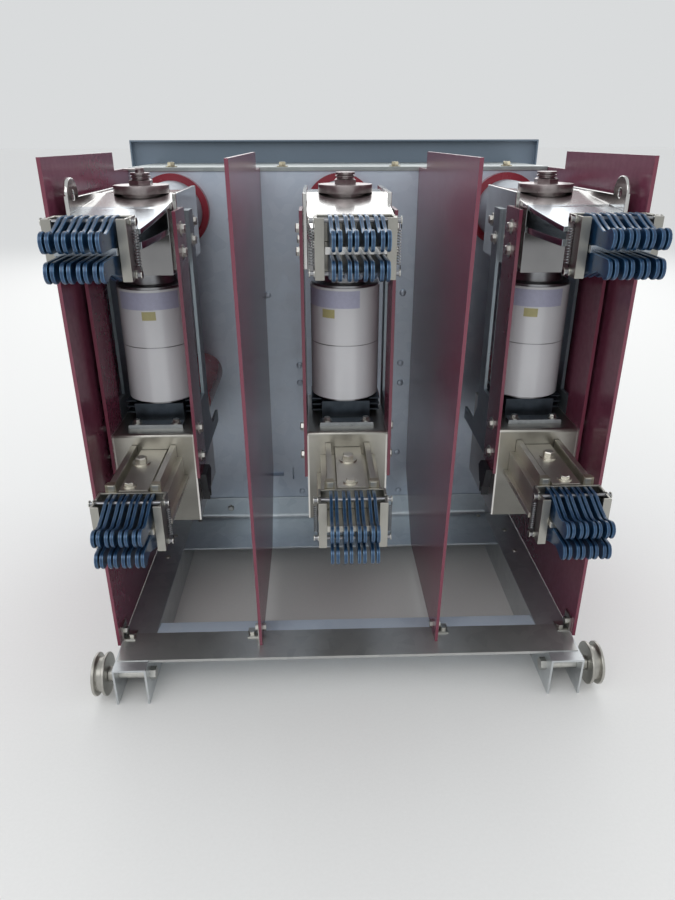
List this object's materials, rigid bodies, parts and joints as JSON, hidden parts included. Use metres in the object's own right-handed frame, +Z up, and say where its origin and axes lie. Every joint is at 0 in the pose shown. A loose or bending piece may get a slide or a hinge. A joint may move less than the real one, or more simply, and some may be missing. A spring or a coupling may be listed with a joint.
{
  "type": "draw-out vacuum circuit breaker",
  "caption": "Draw-out vacuum circuit breaker on a wheeled truck, with vertical interrupters, finger contacts, red phase barriers and a closed mechanism housing.",
  "frame": {"origin": "centre of the bounding box on the floor under the rails", "axes": "+Z up, +Y towards the front panel, the contact fingers point to -Y, +X across the poles"},
  "size_m": [0.718, 0.705, 0.698],
  "materials": {
    "galvanised": "satin",
    "zinc_hardware": "satin",
    "wheel_steel": "satin",
    "panel_paint": "satin",
    "red_laminate": "satin",
    "silvered_copper": "satin",
    "black_moulding": "satin",
    "ceramic": "gloss",
    "dark_clamp": "satin",
    "cage_steel": "satin",
    "finger_blue": "satin",
    "cast_grey": "satin",
    "red_epoxy": "gloss"
  },
  "bodies": {
    "root": {"rail_left": "galvanised", "rail_right": "galvanised", "rear_cross_plate": "galvanised", "front_cross_angle": "galvanised", "barrier_brackets": "zinc_hardware", "wheel_axles": "zinc_hardware", "mechanism_housing": "galvanised", "housing_lid": "galvanised", "front_panel": "panel_paint", "outer_barrier_left": "red_laminate", "outer_barrier_right": "red_laminate", "inner_barrier_left": "red_laminate", "inner_barrier_right": "red_laminate", "support_bars": "galvanised", "drive_levers": "black_moulding", "head_spigots": "cast_grey", "upper_head_left": "silvered_copper", "lower_head_left": "silvered_copper", "terminal_disc_left": "zinc_hardware", "interrupter_left": "ceramic", "flex_connector_left": "dark_clamp", "upper_arm_left": "silvered_copper", "lower_arm_left": "silvered_copper", "finger_cages_left": "cage_steel", "contact_fingers_left": "finger_blue", "insulating_struts_left": "red_laminate", "post_insulators_left": "red_epoxy", "upper_head_middle": "silvered_copper", "lower_head_middle": "silvered_copper", "terminal_disc_middle": "zinc_hardware", "interrupter_middle": "ceramic", "flex_connector_middle": "dark_clamp", "upper_arm_middle": "silvered_copper", "lower_arm_middle": "silvered_copper", "finger_cages_middle": "cage_steel", "contact_fingers_middle": "finger_blue", "insulating_struts_middle": "red_laminate", "post_insulators_middle": "red_epoxy", "upper_head_right": "silvered_copper", "lower_head_right": "silvered_copper", "terminal_disc_right": "zinc_hardware", "interrupter_right": "ceramic", "flex_connector_right": "dark_clamp", "upper_arm_right": "silvered_copper", "lower_arm_right": "silvered_copper", "finger_cages_right": "cage_steel", "contact_fingers_right": "finger_blue", "insulating_struts_right": "red_laminate", "post_insulators_right": "red_epoxy"},
    "wheel_rear_left": {"wheel_rear_left": "wheel_steel"},
    "wheel_rear_right": {"wheel_rear_right": "wheel_steel"},
    "wheel_front_left": {"wheel_front_left": "wheel_steel"},
    "wheel_front_right": {"wheel_front_right": "wheel_steel"}
  },
  "joints": [
    {"name": "wheel_rear_left_spin", "type": "hinge", "parent": "root", "child": "wheel_rear_left", "pos_m": [-0.3365, -0.2415, 0.035], "axis": [1, 0, 0], "continuous": true},
    {"name": "wheel_rear_right_spin", "type": "hinge", "parent": "root", "child": "wheel_rear_right", "pos_m": [0.3365, -0.2415, 0.035], "axis": [1, 0, 0], "continuous": true},
    {"name": "wheel_front_left_spin", "type": "hinge", "parent": "root", "child": "wheel_front_left", "pos_m": [-0.3365, 0.2925, 0.035], "axis": [1, 0, 0], "continuous": true},
    {"name": "wheel_front_right_spin", "type": "hinge", "parent": "root", "child": "wheel_front_right", "pos_m": [0.3365, 0.2925, 0.035], "axis": [1, 0, 0], "continuous": true}
  ]
}
